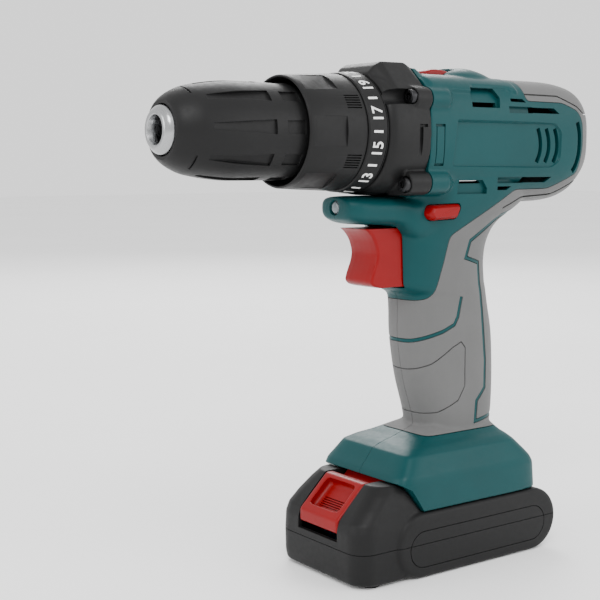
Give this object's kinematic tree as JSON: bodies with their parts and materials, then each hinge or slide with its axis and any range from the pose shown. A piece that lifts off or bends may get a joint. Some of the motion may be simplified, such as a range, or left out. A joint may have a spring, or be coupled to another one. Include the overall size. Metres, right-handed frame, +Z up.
{
  "type": "cordless drill driver",
  "caption": "Pistol-grip cordless drill driver with a keyless three-jaw chuck, numbered torque collar, two-stage planetary drive and slide-on battery pack.",
  "frame": {"origin": "on the table under the middle of the drill's overall box, in its plane of symmetry", "axes": "-X along the spindle towards the chuck's nose, +Y to the user's right-hand side of a tool that points to -X as seen from above, +Z up"},
  "size_m": [0.25, 0.068, 0.2456],
  "materials": {
    "teal_plastic": "moulded teal ABS with a fine satin texture",
    "grey_grip": "matt grey soft-touch overmould",
    "black_plastic": "satin black glass-filled nylon",
    "battery_black": "fine-textured black ABS",
    "inner_black": "plain black nylon",
    "red_plastic": "semi-gloss red ABS",
    "polished_steel": "machined and polished steel",
    "steel": "plain machined steel",
    "screw_steel": "blackened screw steel",
    "gear_case_nylon": "glass-filled nylon gear case",
    "lamp_clear": "clear moulded lamp lens",
    "board_green": "printed circuit board",
    "contact_brass": "spring brass contact",
    "cell_sleeve": "heat-shrink sleeve of a lithium cell"
  },
  "bodies": {
    "drill": {"left_housing_shell": "teal_plastic", "right_housing_shell": "teal_plastic", "left_grip_overmould": "grey_grip", "right_grip_overmould": "grey_grip", "gearbox_nose": "black_plastic", "gear_case": "gear_case_nylon", "nose_screw_1": "screw_steel", "nose_screw_2": "screw_steel", "nose_screw_3": "screw_steel", "nose_screw_4": "screw_steel", "housing_screw_1": "screw_steel", "housing_screw_2": "screw_steel", "housing_screw_3": "screw_steel", "housing_screw_4": "screw_steel", "spindle_bearing": "steel", "clutch_spring": "steel", "clutch_washer": "steel", "motor_plate": "steel", "ring_gear_a": "steel", "ring_gear_b": "steel", "motor_can": "steel", "motor_end_cap": "inner_black", "switch_body": "inner_black", "terminal_block": "inner_black", "lamp_lens": "lamp_clear"},
    "spindle_unit": {"spindle": "steel", "chuck_body": "polished_steel", "chuck_screw": "screw_steel"},
    "chuck_sleeve_unit": {"chuck_sleeve": "black_plastic", "jaw_nut": "steel"},
    "jaw_1_body": {"jaw_1": "polished_steel"},
    "jaw_2_body": {"jaw_2": "polished_steel"},
    "jaw_3_body": {"jaw_3": "polished_steel"},
    "collar_unit": {"torque_collar": "black_plastic", "torque_scale_ring": "black_plastic"},
    "carrier_unit": {"carrier_a": "steel"},
    "rotor_unit": {"motor_rotor": "steel", "cooling_fan": "inner_black"},
    "planet_a1_body": {"planet_a1": "steel"},
    "planet_a2_body": {"planet_a2": "steel"},
    "planet_a3_body": {"planet_a3": "steel"},
    "planet_b1_body": {"planet_b1": "steel"},
    "planet_b2_body": {"planet_b2": "steel"},
    "planet_b3_body": {"planet_b3": "steel"},
    "trigger_unit": {"trigger": "red_plastic", "trigger_spring": "steel"},
    "direction_button_body": {"direction_button": "red_plastic"},
    "speed_selector_body": {"speed_selector": "red_plastic"},
    "battery": {"battery_lower_case": "battery_black", "battery_upper_case": "battery_black", "cell_1": "cell_sleeve", "cell_2": "cell_sleeve", "cell_3": "cell_sleeve", "cell_4": "cell_sleeve", "cell_5": "cell_sleeve", "battery_board": "board_green", "battery_contact_left": "contact_brass", "battery_contact_right": "contact_brass"},
    "battery_latch_body": {"battery_latch": "red_plastic", "latch_spring": "steel"}
  },
  "joints": [
    {"name": "spindle_spin", "type": "hinge", "parent": "drill", "child": "spindle_unit", "pos_m": [0, 0, 0.2125], "axis": [1, 0, 0], "continuous": true},
    {"name": "carrier_spin", "type": "hinge", "parent": "drill", "child": "carrier_unit", "pos_m": [0.03, 0, 0.2125], "axis": [1, 0, 0], "continuous": true},
    {"name": "motor_spin", "type": "hinge", "parent": "drill", "child": "rotor_unit", "pos_m": [0.07, 0, 0.2125], "axis": [1, 0, 0], "continuous": true},
    {"name": "planet_a1_spin", "type": "hinge", "parent": "carrier_unit", "child": "planet_a1_body", "pos_m": [0.0365, 0.0084, 0.2125], "axis": [1, 0, 0], "continuous": true},
    {"name": "planet_a2_spin", "type": "hinge", "parent": "carrier_unit", "child": "planet_a2_body", "pos_m": [0.0365, -0.0042, 0.21977], "axis": [1, 0, 0], "continuous": true},
    {"name": "planet_a3_spin", "type": "hinge", "parent": "carrier_unit", "child": "planet_a3_body", "pos_m": [0.0365, -0.0042, 0.20523], "axis": [1, 0, 0], "continuous": true},
    {"name": "planet_b1_spin", "type": "hinge", "parent": "spindle_unit", "child": "planet_b1_body", "pos_m": [0.02175, 0.0084, 0.2125], "axis": [1, 0, 0], "continuous": true},
    {"name": "planet_b2_spin", "type": "hinge", "parent": "spindle_unit", "child": "planet_b2_body", "pos_m": [0.02175, -0.0042, 0.21977], "axis": [1, 0, 0], "continuous": true},
    {"name": "planet_b3_spin", "type": "hinge", "parent": "spindle_unit", "child": "planet_b3_body", "pos_m": [0.02175, -0.0042, 0.20523], "axis": [1, 0, 0], "continuous": true},
    {"name": "chuck_sleeve_turn", "type": "hinge", "parent": "spindle_unit", "child": "chuck_sleeve_unit", "pos_m": [-0.08, 0, 0.2125], "axis": [1, 0, 0], "range_deg": [0, 3240]},
    {"name": "jaw_1_slide", "type": "slide", "parent": "spindle_unit", "child": "jaw_1_body", "axis": [-0.9744, 0, -0.225], "range_m": [0, 0.018]},
    {"name": "jaw_2_slide", "type": "slide", "parent": "spindle_unit", "child": "jaw_2_body", "axis": [-0.9744, 0.1948, 0.1125], "range_m": [0, 0.018]},
    {"name": "jaw_3_slide", "type": "slide", "parent": "spindle_unit", "child": "jaw_3_body", "axis": [-0.9744, -0.1948, 0.1125], "range_m": [0, 0.018]},
    {"name": "torque_collar_turn", "type": "hinge", "parent": "drill", "child": "collar_unit", "pos_m": [-0.04, 0, 0.2125], "axis": [1, 0, 0], "range_deg": [0, 300]},
    {"name": "trigger_pull", "type": "slide", "parent": "drill", "child": "trigger_unit", "axis": [1, 0, 0], "range_m": [0, 0.006], "stiffness_N_per_m": 900, "springref_m": -0.003},
    {"name": "direction_slide", "type": "slide", "parent": "drill", "child": "direction_button_body", "axis": [0, 1, 0], "range_m": [-0.003, 0.003]},
    {"name": "speed_slide", "type": "slide", "parent": "drill", "child": "speed_selector_body", "axis": [1, 0, 0], "range_m": [-0.007, 0]},
    {"name": "battery_slide", "type": "slide", "parent": "drill", "child": "battery", "axis": [-1, 0, 0], "range_m": [0, 0.1]},
    {"name": "latch_press", "type": "slide", "parent": "battery", "child": "battery_latch_body", "axis": [0, 0, -1], "range_m": [0, 0.003], "stiffness_N_per_m": 1500, "springref_m": -0.002, "deforming": ["latch_spring"]}
  ],
  "couplings": [
    {"joint": "spindle_spin", "follows": "motor_spin", "ratio": 0.045918},
    {"joint": "carrier_spin", "follows": "motor_spin", "ratio": 0.21429},
    {"joint": "planet_a1_spin", "follows": "motor_spin", "ratio": -0.58929},
    {"joint": "planet_a2_spin", "follows": "motor_spin", "ratio": -0.58929},
    {"joint": "planet_a3_spin", "follows": "motor_spin", "ratio": -0.58929},
    {"joint": "planet_b1_spin", "follows": "motor_spin", "ratio": -0.12628},
    {"joint": "planet_b2_spin", "follows": "motor_spin", "ratio": -0.12628},
    {"joint": "planet_b3_spin", "follows": "motor_spin", "ratio": -0.12628},
    {"joint": "jaw_1_slide", "follows": "chuck_sleeve_turn", "m_per_rad": 0.00031831},
    {"joint": "jaw_2_slide", "follows": "chuck_sleeve_turn", "m_per_rad": 0.00031831},
    {"joint": "jaw_3_slide", "follows": "chuck_sleeve_turn", "m_per_rad": 0.00031831}
  ]
}
